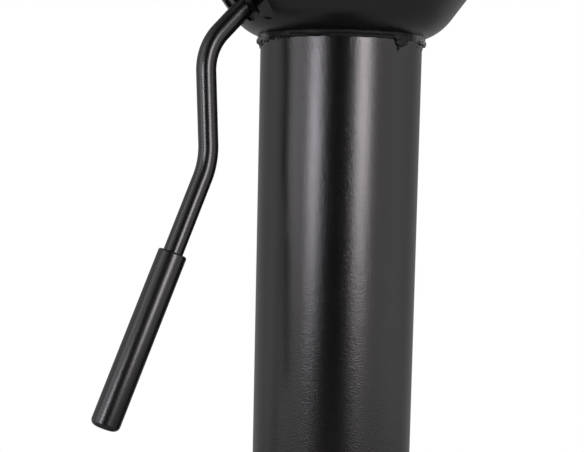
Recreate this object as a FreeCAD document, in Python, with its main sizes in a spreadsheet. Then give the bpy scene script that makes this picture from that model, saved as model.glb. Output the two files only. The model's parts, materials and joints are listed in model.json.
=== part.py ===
"""Column garden torch with a snuffer lever: a parametric FreeCAD document.

The row frame has +Z up and its origin on the ground, at the centre of the round base.
The snuffer lever lies in the XZ plane, on the -X side. Every length is in millimetres.
"""
import FreeCAD, Part
import math
import os

import Sketcher

Vector = FreeCAD.Vector
doc = FreeCAD.newDocument("garden_torch")

# ---------------------------------------------------------------- driving dimensions
DRIVING = {
    # whole torch
    "column_height": 1000.0,        # ground to the plane of the column's top edge
    "base_diameter": 400.0,
    "base_thickness": 8.0,
    "base_edge_chamfer": 1.5,
    # feet and ground fixings
    "foot_diameter": 36.0,
    "foot_height": 6.0,
    "foot_edge_margin": 30.0,       # foot centres from the base's edge
    "foot_count": 4,
    "foot_screw_diameter": 5.0,
    "foot_head_diameter": 9.5,
    "foot_head_height": 2.8,
    "foot_head_recess": 3.6,
    "anchor_edge_margin": 30.0,     # anchor holes from the base's edge
    "anchor_count": 4,
    "anchor_hole_diameter": 11.0,
    # column flange and its bolts
    "flange_thickness": 10.0,
    "flange_bolt_offset": 17.2,     # bolt centres from the column's face
    "flange_edge_margin": 17.0,     # bolt centres from the flange's edge
    "flange_bolt_count": 6,
    "bolt_diameter": 10.0,
    "bolt_head_flats": 17.0,
    "bolt_head_height": 6.4,
    "bolt_hole_gap": 0.5,
    "thread_gap": 0.1,
    "washer_diameter": 20.0,
    "washer_thickness": 2.0,
    "drain_diameter": 12.0,
    "foot_weld_leg": 6.0,
    # column
    "tube_diameter": 101.6,
    "tube_wall": 3.0,
    "tube_seat_gap": 0.05,
    # bowl
    "bowl_height": 118.6,           # floor underside to the top edge
    "bowl_wall": 2.0,
    "bowl_corner_radius": 32.0,     # outside of the floor corner
    "bowl_slope": 53.64,            # wall angle above the horizontal
    "bowl_lift": 1.4,               # floor underside above the column's top plane
    "floor_inset": 5.3,             # flat floor ends this far inside the tube bore
    "rim_bar_diameter": 8.0,
    "bowl_weld_radius": 2.3,
    "bowl_weld_offset": 0.2,        # bead centre outside the column's face
    "bowl_weld_rise": 1.8,          # bead centre above the column's top plane
    # air slots
    "slot_side_gap": 0.6,           # each side of the lever rod
    "slot_low_gap": 3.9,            # lower end below the rod when the snuffer is open
    "slot_high_gap": 7.6,           # upper end above the rod when the snuffer is shut
    "slot_pitch": 15.3,             # angle between neighbours
    "slot_cut_depth": 16.0,
    # fuel tank and burner
    "tank_side_gap": 17.8,          # tank to the column's bore
    "tank_wall": 1.0,
    "tank_depth": 150.0,
    "tank_lip": 6.5,
    "tank_lip_thickness": 2.0,
    "tank_hole_gap": 1.0,
    "gasket_thickness": 1.5,
    "neck_diameter": 30.0,
    "neck_height": 9.0,
    "burner_diameter": 38.0,
    "burner_height": 12.0,
    "neck_gap": 0.3,
    "wick_diameter": 12.4,
    "wick_gap": 0.3,
    "wick_tube_wall": 0.9,
    "wick_tube_height": 42.0,       # top of the wick tube above the column's top plane
    "wick_stand": 6.0,              # wick shown above its tube
    "wick_tail": 110.0,             # wick below the column's top plane
    "collar_flats": 22.0,
    "collar_height": 5.0,
    # rocker
    "hub_diameter": 20.0,
    "hub_half_length": 7.9,
    "hub_lip_gap": 1.0,             # hub stays this far outside the tank lip
    "pivot_height": 38.8,           # above the column's top plane
    "shaft_diameter": 8.0,
    "shaft_gap": 0.05,
    "shaft_end": 2.0,               # shaft beyond each clip
    "washer_gap": 0.1,
    "pivot_washer_thickness": 1.0,
    "pivot_washer_diameter": 18.0,
    "clip_thickness": 1.0,
    "clip_diameter": 14.0,
    "lug_thickness": 3.0,
    "lug_head_radius": 10.0,
    # lever
    "rod_diameter": 12.0,
    "rod_socket_depth": 4.0,
    "socket_gap": 0.05,
    "run_one": 66.7,                # pivot to the first corner
    "run_two": 66.9,                # first corner to the second
    "run_three": 167.0,             # second corner to the end of the grip
    "slope_one": 46.0,              # first run below the horizontal
    "lean_two": 2.8,                # second run from the vertical, towards the column
    "flare_three": 22.6,            # third run from the vertical, away from the column
    "bend_one": 32.0,
    "bend_two": 48.0,
    "grip_wall": 2.75,
    "grip_length": 109.0,
    "grip_end_wall": 5.0,
    "grip_top_radius": 1.5,
    "grip_end_radius": 4.0,
    # snuffer
    "snuffer_swing": 60.0,          # lever travel from open to shut
    "cap_radius": 14.5,
    "cap_wall": 1.5,
    "cap_height": 30.0,
    "cap_cover": 10.0,              # mouth of the shut cap below the wick tube's top
    "arm_width": 12.0,
    "arm_thickness": 4.0,
    "arm_hub_gap": 0.05,
    "arm_corner_radius": 7.0,
    "arm_end_margin": 9.0,
    "stud_diameter": 6.0,
    "stud_gap": 0.2,
    "stud_head_diameter": 11.0,
    "stud_head_height": 2.5,
    "nut_flats": 10.0,
    "nut_height": 5.0,
    "stud_washer_diameter": 12.0,
    "stud_washer_thickness": 1.2,
    "stud_stand": 2.0,
}


def as_size(other):
    if isinstance(other, Size):
        return other
    return Size(float(other), repr(float(other)))


class Size:
    """A length with its value and the expression that gives it from the sheet."""

    def __init__(self, value, text):
        self.value = value
        self.text = text

    def __add__(self, other):
        other = as_size(other)
        return Size(self.value + other.value, "(" + self.text + " + " + other.text + ")")

    def __sub__(self, other):
        other = as_size(other)
        return Size(self.value - other.value, "(" + self.text + " - " + other.text + ")")

    def __mul__(self, other):
        other = as_size(other)
        return Size(self.value * other.value, "(" + self.text + " * " + other.text + ")")

    def __truediv__(self, other):
        other = as_size(other)
        return Size(self.value / other.value, "(" + self.text + " / " + other.text + ")")

    def __rsub__(self, other):
        return as_size(other) - self

    def __neg__(self):
        return as_size(0) - self

    __radd__ = __add__
    __rmul__ = __mul__


def root(size):
    return Size(math.sqrt(size.value), "sqrt(" + size.text + ")")


def sine(size):
    return Size(math.sin(math.radians(size.value)), "sin(" + size.text + ")")


def cosine(size):
    return Size(math.cos(math.radians(size.value)), "cos(" + size.text + ")")


def tangent(size):
    return Size(math.tan(math.radians(size.value)), "tan(" + size.text + ")")


class SizeBook:
    """Reads the driving dimensions by name."""

    def __init__(self, sheet, names):
        for name in names:
            setattr(self, name, Size(float(sheet.get(name)), "Sizes." + name))


def make_sheet():
    sheet = doc.addObject("Spreadsheet::Sheet", "Sizes")
    for row, (name, value) in enumerate(DRIVING.items(), start=1):
        sheet.set("A" + str(row), name)
        sheet.set("B" + str(row), str(value))
        sheet.setAlias("B" + str(row), name)
    doc.recompute()
    return SizeBook(sheet, DRIVING)


S = make_sheet()
ZERO = as_size(0)
SAME_PLACE = 1e-4       # two points closer than this are one

# ---------------------------------------------------------------- worked-out places
plate_top = S.foot_height + S.base_thickness
foot_circle = S.base_diameter - 2 * S.foot_edge_margin
anchor_circle = S.base_diameter - 2 * S.anchor_edge_margin
flange_top = plate_top + S.flange_thickness
flange_bolt_circle = S.tube_diameter + 2 * S.flange_bolt_offset
tube_radius = S.tube_diameter / 2
tube_bore = tube_radius - S.tube_wall
bowl_floor = S.column_height + S.bowl_lift
floor_radius = tube_bore - S.floor_inset
tube_top = bowl_floor + S.bowl_corner_radius - S.tube_seat_gap - root(
    S.bowl_corner_radius * S.bowl_corner_radius - S.floor_inset * S.floor_inset)
wall_start_radius = floor_radius + S.bowl_corner_radius * sine(S.bowl_slope)
wall_start_rise = S.bowl_corner_radius - S.bowl_corner_radius * cosine(S.bowl_slope)
rim_radius = wall_start_radius + (S.bowl_height - wall_start_rise) / tangent(S.bowl_slope)
floor_top = bowl_floor + S.bowl_wall
tank_radius = tube_bore - S.tank_side_gap
tank_lip_radius = tank_radius + S.tank_lip
lip_bottom = floor_top + S.gasket_thickness
lip_top = lip_bottom + S.tank_lip_thickness
hub_radius = S.hub_diameter / 2
pivot_reach = tank_lip_radius + S.hub_lip_gap + hub_radius
pivot_z = S.column_height + S.pivot_height
shaft_radius = S.shaft_diameter / 2
lug_inner = S.hub_half_length + S.washer_gap + S.pivot_washer_thickness
lug_outer = lug_inner + S.lug_thickness
rod_radius = S.rod_diameter / 2
socket_floor = hub_radius - S.rod_socket_depth
slot_width = S.rod_diameter + 2 * S.slot_side_gap
grip_diameter = S.rod_diameter + 2 * S.grip_wall
cap_below_pivot = S.pivot_height - S.wick_tube_height + S.cap_cover
cap_top = S.cap_height - cap_below_pivot
arm_top = cap_top + S.arm_thickness
nodes = []


# ---------------------------------------------------------------- building helpers
def bind(item, name, size):
    item.setExpression(name, size.text)


def origin_plane(body, role):
    return next(plane for plane in body.Origin.OriginFeatures if plane.Role == role)


def new_body(name):
    return doc.addObject("PartDesign::Body", name)


def finish_node(item, name):
    item.Label = name
    nodes.append(item)
    return item


def place(item, x, y, z):
    bind(item, ".Placement.Base.x", as_size(x))
    bind(item, ".Placement.Base.y", as_size(y))
    bind(item, ".Placement.Base.z", as_size(z))
    return item


def turn_about_y(item, angle):
    item.Placement = FreeCAD.Placement(item.Placement.Base, FreeCAD.Rotation(Vector(0, 1, 0), angle.value))
    return item


def new_sketch(body, name, role):
    sketch = body.newObject("Sketcher::SketchObject", name)
    sketch.AttachmentSupport = [(origin_plane(body, role), "")]
    sketch.MapMode = "FlatFace"
    return sketch


def pin_point(sketch, shape, end, x, y):
    """Hold one end of a sketch line or arc at x, y from the sketch's origin."""
    for kind, size in (("DistanceX", x), ("DistanceY", y)):
        index = sketch.addConstraint(Sketcher.Constraint(kind, -1, 1, shape, end, size.value))
        bind(sketch, "Constraints[" + str(index) + "]", size)


def circle(sketch, x, y, radius):
    centre = Vector(x.value, y.value, 0)
    index = sketch.addGeometry(Part.Circle(centre, Vector(0, 0, 1), radius.value), False)
    rule = sketch.addConstraint(Sketcher.Constraint("Radius", index, radius.value))
    bind(sketch, "Constraints[" + str(rule) + "]", radius)
    pin_point(sketch, index, 3, x, y)


def outline(sketch, points, arcs=None, closed=True):
    """Draw straight edges through points; arcs maps an edge's number to (radius, side).

    Side is +1 where the arc bulges to the right of the edge's direction, -1 to the left.
    """
    arcs = arcs or {}
    count = len(points) if closed else len(points) - 1
    for number in range(count):
        x1, y1 = points[number]
        x2, y2 = points[(number + 1) % len(points)]
        start = Vector(x1.value, y1.value, 0)
        end = Vector(x2.value, y2.value, 0)
        if number not in arcs:
            sketch.addGeometry(Part.LineSegment(start, end), False)
            if number == 0 or number - 1 in arcs:
                pin_point(sketch, number, 1, x1, y1)
            pin_next = closed is False or number + 1 < count
            if number > 0 and number - 1 not in arcs:
                sketch.addConstraint(Sketcher.Constraint("Coincident", number - 1, 2, number, 1))
            if pin_next:
                pin_point(sketch, number, 2, x2, y2)
            else:
                sketch.addConstraint(Sketcher.Constraint("Coincident", number, 2, 0, 1))
            continue
        radius, side = arcs[number]
        chord = end - start
        right = Vector(chord.y, -chord.x, 0).normalize() * side
        sagitta = radius.value - math.sqrt(max(radius.value ** 2 - chord.Length ** 2 / 4, 0))
        middle = (start + end) * 0.5 + right * sagitta
        sketch.addGeometry(Part.Arc(start, middle, end), False)
        # an arc keeps its own direction, so its start may be either end of the edge
        first = sketch.getPoint(number, 1)
        forward = (first - start).Length < (first - end).Length
        near, far = (1, 2) if forward else (2, 1)
        before = number - 1
        if before >= 0 and before not in arcs:
            sketch.addConstraint(Sketcher.Constraint("Coincident", before, 2, number, near))
        else:
            pin_point(sketch, number, near, x1, y1)
        pin_point(sketch, number, far, x2, y2)
        if chord.Length > 2 * radius.value - SAME_PLACE:
            # a half circle across the sketch: its centre lies level with its ends
            level = sketch.addConstraint(Sketcher.Constraint("DistanceY", -1, 1, number, 3, y1.value))
            bind(sketch, "Constraints[" + str(level) + "]", y1)
            continue
        rule = sketch.addConstraint(Sketcher.Constraint("Radius", number, radius.value))
        bind(sketch, "Constraints[" + str(rule) + "]", radius)


def pad(body, sketch, length, midplane=False):
    feature = body.newObject("PartDesign::Pad", body.Name + "_pad")
    feature.Profile = sketch
    feature.Midplane = midplane
    bind(feature, "Length", length)
    return feature


def revolve(body, sketch):
    feature = body.newObject("PartDesign::Revolution", body.Name + "_revolution")
    feature.Profile = sketch
    feature.ReferenceAxis = (sketch, ["V_Axis"])
    feature.Angle = 360
    return feature


def pocket_through(body, sketch, name):
    """Cut the sketch through the body, and turn the cut round if it took nothing away."""
    doc.recompute()
    before = body.Shape.Volume
    feature = body.newObject("PartDesign::Pocket", name)
    feature.Profile = sketch
    feature.Type = "ThroughAll"
    doc.recompute()
    if body.Shape.Volume > before - 1e-3:
        feature.Reversed = True
        doc.recompute()
    if body.Shape.Volume > before - 1e-3:
        raise RuntimeError(name + " cuts nothing")
    return feature


def polar_pattern(body, feature, count, name):
    pattern = body.newObject("PartDesign::PolarPattern", name)
    pattern.Originals = [feature]
    pattern.Axis = (origin_axis(body, "Z_Axis"), [""])
    pattern.Angle = 360
    bind(pattern, "Occurrences", count)
    body.Tip = pattern
    return pattern


def origin_axis(body, role):
    return next(axis for axis in body.Origin.OriginFeatures if axis.Role == role)


def disc(body, radius, thickness, name):
    sketch = new_sketch(body, name, "XY_Plane")
    circle(sketch, ZERO, ZERO, radius)
    return pad(body, sketch, thickness)


def hole_ring(body, circle_diameter, radius, count, angle, name):
    """Drill count equal holes on a circle, the first at the given angle."""
    sketch = new_sketch(body, name, "XY_Plane")
    reach = circle_diameter / 2
    circle(sketch, reach * cosine(angle), reach * sine(angle), radius)
    cut = pocket_through(body, sketch, name + "_cut")
    pattern = polar_pattern(body, cut, count, name + "_pattern")
    doc.recompute()
    return pattern


def cylinder(name, radius, height, x=ZERO, y=ZERO, z=ZERO):
    item = doc.addObject("Part::Cylinder", name)
    bind(item, "Radius", radius)
    bind(item, "Height", height)
    return place(item, x, y, z)


def cylinder_along_y(name, radius, half_length, x=ZERO, z=ZERO):
    """A cylinder centred on y = 0 with its axis along Y."""
    item = cylinder(name, radius, half_length * 2, x, -half_length, z)
    item.Placement = FreeCAD.Placement(item.Placement.Base, FreeCAD.Rotation(Vector(1, 0, 0), -90))
    return item


def prism(name, sides, flats, height):
    item = doc.addObject("Part::Prism", name)
    item.Polygon = sides
    bind(item, "Circumradius", flats / (2 * cosine(as_size(180.0 / sides))))
    bind(item, "Height", height)
    return item


def cut(name, base, tool):
    item = doc.addObject("Part::Cut", name)
    item.Base = base
    item.Tool = tool
    return item


def fuse(name, shapes):
    item = doc.addObject("Part::MultiFuse", name)
    item.Shapes = shapes
    item.Refine = True
    return item


def ring(name, inner, outer, thickness):
    return cut(name, cylinder(name + "_outer", outer, thickness), cylinder(name + "_bore", inner, thickness))


def ring_places(circle_diameter, count, first_angle):
    """Places round a circle, each as x, y and its angle."""
    reach = circle_diameter / 2
    for number in range(int(count.value)):
        angle = first_angle + as_size(360.0 * number) / count
        yield number + 1, reach * cosine(angle), reach * sine(angle)


# ---------------------------------------------------------------- base and column
def make_base_plate():
    body = new_body("base_plate")
    disc(body, S.base_diameter / 2, S.base_thickness, "base_outline")
    hole_ring(body, anchor_circle, S.anchor_hole_diameter / 2, S.anchor_count, as_size(45), "anchor_holes")
    screw_hole = S.foot_screw_diameter / 2 + S.thread_gap
    hole_ring(body, foot_circle, screw_hole, S.foot_count, ZERO, "foot_holes")
    bolt_hole = S.bolt_diameter / 2 + S.thread_gap
    hole_ring(body, flange_bolt_circle, bolt_hole, S.flange_bolt_count, ZERO, "flange_holes")
    sketch = new_sketch(body, "drain_hole", "XY_Plane")
    circle(sketch, ZERO, ZERO, S.drain_diameter / 2)
    drilled = pocket_through(body, sketch, "drain_cut")
    edges = outer_edges(drilled.Shape, S.base_diameter.value / 2)
    chamfer = body.newObject("PartDesign::Chamfer", "base_edges")
    chamfer.Base = (drilled, edges)
    bind(chamfer, "Size", S.base_edge_chamfer)
    finish_node(place(body, 0, 0, S.foot_height), "base_plate")


def outer_edges(shape, radius):
    """Names of the round edges about Z that have the given radius."""
    names = []
    for number, edge in enumerate(shape.Edges, start=1):
        if isinstance(edge.Curve, Part.Circle) and abs(edge.Curve.Radius - radius) < SAME_PLACE:
            names.append("Edge" + str(number))
    return names


def make_foot(number, x, y):
    outer = cylinder("foot_block_" + str(number), S.foot_diameter / 2, S.foot_height)
    bore = cylinder("foot_bore_" + str(number), S.foot_screw_diameter / 2 + S.thread_gap, S.foot_height)
    recess_radius = S.foot_head_diameter / 2 + S.thread_gap
    recess = cylinder("foot_recess_" + str(number), recess_radius, S.foot_head_recess)
    foot = cut("foot_" + str(number), outer, fuse("foot_hole_" + str(number), [bore, recess]))
    finish_node(place(foot, x, y, 0), "rubber_foot_" + str(number))


def make_foot_screw(number, x, y):
    head_z = S.foot_head_recess - S.foot_head_height
    head = cylinder("foot_head_" + str(number), S.foot_head_diameter / 2, S.foot_head_height, z=head_z)
    shank_length = plate_top - S.foot_head_recess
    shank_radius = S.foot_screw_diameter / 2
    shank = cylinder("foot_shank_" + str(number), shank_radius, shank_length, z=S.foot_head_recess)
    screw = fuse("foot_screw_shape_" + str(number), [head, shank])
    finish_node(place(screw, x, y, 0), "foot_screw_" + str(number))


def make_feet():
    for number, x, y in ring_places(foot_circle, S.foot_count, ZERO):
        make_foot(number, x, y)
        make_foot_screw(number, x, y)


def make_flange():
    body = new_body("foot_flange")
    disc(body, flange_bolt_circle / 2 + S.flange_edge_margin, S.flange_thickness, "flange_outline")
    radius = S.bolt_diameter / 2 + S.bolt_hole_gap
    hole_ring(body, flange_bolt_circle, radius, S.flange_bolt_count, ZERO, "flange_bolt_holes")
    sketch = new_sketch(body, "flange_drain", "XY_Plane")
    circle(sketch, ZERO, ZERO, S.drain_diameter / 2)
    pocket_through(body, sketch, "flange_drain_cut")
    finish_node(place(body, 0, 0, plate_top), "foot_flange")


def make_flange_bolts():
    shank_length = S.base_thickness + S.flange_thickness + S.washer_thickness
    washer_bore = S.bolt_diameter / 2 + S.bolt_hole_gap
    for number, x, y in ring_places(flange_bolt_circle, S.flange_bolt_count, ZERO):
        tag = str(number)
        washer = ring("washer_" + tag, washer_bore, S.washer_diameter / 2, S.washer_thickness)
        finish_node(place(washer, x, y, flange_top), "flange_washer_" + tag)
        head = prism("bolt_head_" + tag, 6, S.bolt_head_flats, S.bolt_head_height)
        place(head, 0, 0, shank_length)
        shank = cylinder("bolt_shank_" + tag, S.bolt_diameter / 2, shank_length)
        bolt = fuse("bolt_" + tag, [shank, head])
        finish_node(place(bolt, x, y, S.foot_height), "flange_bolt_" + tag)


def make_foot_weld():
    body = new_body("foot_weld")
    sketch = new_sketch(body, "foot_weld_outline", "XZ_Plane")
    leg = S.foot_weld_leg
    outline(sketch, [(tube_radius, ZERO), (tube_radius + leg, ZERO), (tube_radius, leg)])
    revolve(body, sketch)
    finish_node(place(body, 0, 0, flange_top), "foot_weld")


def make_column():
    body = new_body("column_tube")
    sketch = new_sketch(body, "tube_section", "XY_Plane")
    circle(sketch, ZERO, ZERO, tube_radius)
    circle(sketch, ZERO, ZERO, tube_bore)
    pad(body, sketch, tube_top - flange_top)
    finish_node(place(body, 0, 0, flange_top), "column_tube")


# ---------------------------------------------------------------- bowl
def bowl_inner_corner():
    return S.bowl_corner_radius - S.bowl_wall


def inner_wall_start():
    inner = bowl_inner_corner()
    return floor_radius + inner * sine(S.bowl_slope), S.bowl_corner_radius - inner * cosine(S.bowl_slope)


def inner_rim_radius():
    radius, rise = inner_wall_start()
    return radius + (S.bowl_height - rise) / tangent(S.bowl_slope)


def slot_azimuths():
    """Angles of the air slots about Z: three by the lever and three opposite."""
    for side in (180, 0):
        for step in (-1, 0, 1):
            yield as_size(side) + S.slot_pitch * step


def rod_crossing(drop):
    """Where the lever's first run crosses the wall, for its angle below the horizontal.

    Gives the distance up the wall from the start of its straight part to the run's centreline,
    and half the length of wall that the rod takes up there.
    """
    inward = pivot_reach - wall_start_radius
    above = S.pivot_height - S.bowl_lift - wall_start_rise
    meeting = sine(S.bowl_slope + drop)
    centre = (inward * sine(drop) + above * cosine(drop)) / meeting
    return centre, rod_radius / meeting


def slot_ends():
    """Lower and upper end of every slot, along the wall, so that the lever can swing in one."""
    open_centre, open_half = rod_crossing(S.slope_one)
    shut_centre, shut_half = rod_crossing(S.slope_one - S.snuffer_swing)
    return open_centre - open_half - S.slot_low_gap, shut_centre + shut_half + S.slot_high_gap


def slot_sketch(body, number, azimuth):
    """An upright obround on the plane that touches the bowl's outer wall at the azimuth."""
    sketch = new_sketch(body, "slot_" + str(number), "XY_Plane")
    along = Vector(math.cos(math.radians(azimuth.value)), math.sin(math.radians(azimuth.value)), 0)
    slope = math.radians(S.bowl_slope.value)
    upward = along * math.cos(slope) + Vector(0, 0, math.sin(slope))
    sideways = Vector(-along.y, along.x, 0)
    facing = sideways.cross(upward)
    rotation = FreeCAD.Rotation(sideways, upward, facing, "ZXY")
    base = along * wall_start_radius.value + Vector(0, 0, wall_start_rise.value)
    sketch.AttachmentOffset = FreeCAD.Placement(base, rotation)
    half = slot_width / 2
    lower_end, upper_end = slot_ends()
    low = lower_end + half
    high = upper_end - half
    points = [(half, low), (half, high), (-half, high), (-half, low)]
    outline(sketch, points, {1: (half, 1), 3: (half, 1)})
    return sketch


def make_bowl():
    body = new_body("bowl")
    sketch = new_sketch(body, "bowl_outline", "XZ_Plane")
    inner_radius, inner_rise = inner_wall_start()
    hole = tank_radius + S.tank_hole_gap
    points = [
        (hole, ZERO),
        (floor_radius, ZERO),
        (wall_start_radius, wall_start_rise),
        (rim_radius, S.bowl_height),
        (inner_rim_radius(), S.bowl_height),
        (inner_radius, inner_rise),
        (floor_radius, S.bowl_wall),
        (hole, S.bowl_wall),
    ]
    outline(sketch, points, {1: (S.bowl_corner_radius, 1), 5: (bowl_inner_corner(), -1)})
    revolve(body, sketch)
    doc.recompute()
    for number, azimuth in enumerate(slot_azimuths(), start=1):
        before = body.Shape.Volume
        cutter = body.newObject("PartDesign::Pocket", "slot_cut_" + str(number))
        cutter.Profile = slot_sketch(body, number, azimuth)
        cutter.Midplane = True
        bind(cutter, "Length", S.slot_cut_depth)
        doc.recompute()
        if body.Shape.Volume > before - 1.0:
            raise RuntimeError("slot " + str(number) + " cuts nothing")
    finish_node(place(body, 0, 0, bowl_floor), "bowl")


def make_bowl_rim():
    rim = doc.addObject("Part::Torus", "bowl_rim")
    bind(rim, "Radius1", (rim_radius + inner_rim_radius()) / 2)
    bind(rim, "Radius2", S.rim_bar_diameter / 2)
    finish_node(place(rim, 0, 0, bowl_floor + S.bowl_height + S.rim_bar_diameter / 2), "bowl_rim")


def make_bowl_solid(name):
    """The bowl without its hole and slots, filled up to the rim."""
    body = new_body(name)
    sketch = new_sketch(body, name + "_outline", "XZ_Plane")
    points = [
        (ZERO, ZERO),
        (floor_radius, ZERO),
        (wall_start_radius, wall_start_rise),
        (rim_radius, S.bowl_height),
        (ZERO, S.bowl_height),
    ]
    outline(sketch, points, {1: (S.bowl_corner_radius, 1)})
    revolve(body, sketch)
    return place(body, 0, 0, bowl_floor)


def make_bowl_cavity(name):
    """The space inside the bowl, down to its floor."""
    body = new_body(name)
    sketch = new_sketch(body, name + "_outline", "XZ_Plane")
    inner_radius, inner_rise = inner_wall_start()
    points = [
        (ZERO, S.bowl_wall),
        (floor_radius, S.bowl_wall),
        (inner_radius, inner_rise),
        (inner_rim_radius(), S.bowl_height),
        (ZERO, S.bowl_height),
    ]
    outline(sketch, points, {1: (bowl_inner_corner(), 1)})
    revolve(body, sketch)
    return place(body, 0, 0, bowl_floor)


def make_bowl_weld():
    """A bead that fills the gap between the column's top edge and the bowl."""
    bead = doc.addObject("Part::Torus", "weld_bead")
    bind(bead, "Radius1", tube_radius + S.bowl_weld_offset)
    bind(bead, "Radius2", S.bowl_weld_radius)
    place(bead, 0, 0, S.column_height + S.bowl_weld_rise)
    column = cylinder("weld_column_space", tube_radius, S.column_height + S.bowl_height)
    weld = cut("bowl_weld", cut("weld_outside", bead, column), make_bowl_solid("weld_bowl_space"))
    finish_node(weld, "bowl_weld")


# ---------------------------------------------------------------- fuel tank and burner
def make_tank():
    body = new_body("fuel_tank")
    sketch = new_sketch(body, "tank_outline", "XZ_Plane")
    inner = tank_radius - S.tank_wall
    neck = S.neck_diameter / 2
    top = S.tank_lip_thickness
    points = [
        (ZERO, -S.tank_depth),
        (tank_radius, -S.tank_depth),
        (tank_radius, ZERO),
        (tank_lip_radius, ZERO),
        (tank_lip_radius, top),
        (neck, top),
        (neck, top + S.neck_height),
        (neck - S.tank_wall, top + S.neck_height),
        (neck - S.tank_wall, ZERO),
        (inner, ZERO),
        (inner, S.tank_wall - S.tank_depth),
        (ZERO, S.tank_wall - S.tank_depth),
    ]
    outline(sketch, points)
    revolve(body, sketch)
    finish_node(place(body, 0, 0, lip_bottom), "fuel_tank")


def make_gasket():
    inner = tank_radius + S.tank_hole_gap
    gasket = ring("gasket", inner, tank_lip_radius, S.gasket_thickness)
    finish_node(place(gasket, 0, 0, floor_top), "tank_gasket")


def wick_tube_outer():
    return S.wick_diameter / 2 + S.wick_gap + S.wick_tube_wall


def make_burner_cap():
    """The screw cap on the tank's neck, with the wick tube's hole in its top."""
    body = new_body("burner_cap")
    sketch = new_sketch(body, "burner_outline", "XZ_Plane")
    outer = S.burner_diameter / 2
    skirt = S.neck_diameter / 2 + S.neck_gap
    top = S.burner_height
    under = S.neck_height
    hole = wick_tube_outer() + S.thread_gap
    points = [
        (skirt, ZERO),
        (outer, ZERO),
        (outer, top),
        (hole, top),
        (hole, under),
        (skirt, under),
    ]
    outline(sketch, points)
    revolve(body, sketch)
    finish_node(place(body, 0, 0, lip_top), "burner_cap")


def make_wick_parts():
    outer = wick_tube_outer()
    tube_bottom = lip_top + S.neck_height
    tube_end = S.column_height + S.wick_tube_height
    tube = ring("wick_pipe", S.wick_diameter / 2 + S.wick_gap, outer, tube_end - tube_bottom)
    finish_node(place(tube, 0, 0, tube_bottom), "wick_tube")
    nut = prism("collar_nut", 6, S.collar_flats, S.collar_height)
    bore = cylinder("collar_bore", outer + S.thread_gap, S.collar_height)
    collar = cut("collar", nut, bore)
    finish_node(place(collar, 0, 0, lip_top + S.burner_height), "wick_collar")
    wick_bottom = S.column_height - S.wick_tail
    wick = cylinder("wick", S.wick_diameter / 2, tube_end + S.wick_stand - wick_bottom, z=wick_bottom)
    finish_node(wick, "wick")


# ---------------------------------------------------------------- rocker bearing
def make_lug(side, y):
    """One bearing plate: round at the shaft, and cut to the bowl's wall between two slots."""
    body = new_body("lug_plate_" + side)
    sketch = new_sketch(body, "lug_outline_" + side, "XZ_Plane")
    head = S.lug_head_radius
    reach = inner_rim_radius()
    points = [
        (-reach, -head),
        (ZERO, -head),
        (head, ZERO),
        (ZERO, head),
        (-reach, head),
    ]
    outline(sketch, points, {1: (head, 1), 2: (head, 1)})
    # a pad on the XZ plane grows towards -Y
    pad(body, sketch, S.lug_thickness)
    place(body, -pivot_reach, y, pivot_z)
    fitted = doc.addObject("Part::MultiCommon", "lug_fitted_" + side)
    fitted.Shapes = [body, make_bowl_cavity("lug_space_" + side)]
    bore = shaft_radius + S.shaft_gap
    hole = cylinder_along_y("lug_hole_" + side, bore, lug_outer * 2, -pivot_reach, pivot_z)
    finish_node(cut("lug_" + side, fitted, hole), "pivot_lug_" + side)


def make_bearing():
    make_lug("front", -lug_inner)
    make_lug("back", lug_outer)
    half_length = lug_outer + S.clip_thickness + S.shaft_end
    shaft = cylinder_along_y("shaft", shaft_radius, half_length, -pivot_reach, pivot_z)
    finish_node(shaft, "rocker_shaft")
    bore = shaft_radius + S.shaft_gap
    sides = (("front", -lug_inner, -lug_outer), ("back", lug_inner, lug_outer))
    washer_radius = S.pivot_washer_diameter / 2
    for side, washer_y, clip_y in sides:
        washer = ring("pivot_washer_shape_" + side, bore, washer_radius, S.pivot_washer_thickness)
        clip = ring("shaft_clip_shape_" + side, bore, S.clip_diameter / 2, S.clip_thickness)
        if side == "front":
            stand_on_y(washer, washer_y)
            stand_on_y(clip, clip_y - S.clip_thickness)
        else:
            stand_on_y(washer, washer_y - S.pivot_washer_thickness)
            stand_on_y(clip, clip_y)
        finish_node(washer, "pivot_washer_" + side)
        finish_node(clip, "shaft_clip_" + side)


def stand_on_y(item, y):
    """Turn a flat ring so that its axis lies along the rocker shaft, from y outwards."""
    place(item, -pivot_reach, y, pivot_z)
    item.Placement = FreeCAD.Placement(item.Placement.Base, FreeCAD.Rotation(Vector(1, 0, 0), -90))


# ---------------------------------------------------------------- lever
def lever_corners():
    """Corners of the lever's centreline in the XZ plane, from the pivot."""
    first = (-S.run_one * cosine(S.slope_one), -S.run_one * sine(S.slope_one))
    second = (first[0] + S.run_two * sine(S.lean_two), first[1] - S.run_two * cosine(S.lean_two))
    third = (second[0] - S.run_three * sine(S.flare_three), second[1] - S.run_three * cosine(S.flare_three))
    return first, second, third


def step_towards(start, end, run, distance):
    """The point at a distance from start along the run to end."""
    share = distance / run
    return start[0] + (end[0] - start[0]) * share, start[1] + (end[1] - start[1]) * share


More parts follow.
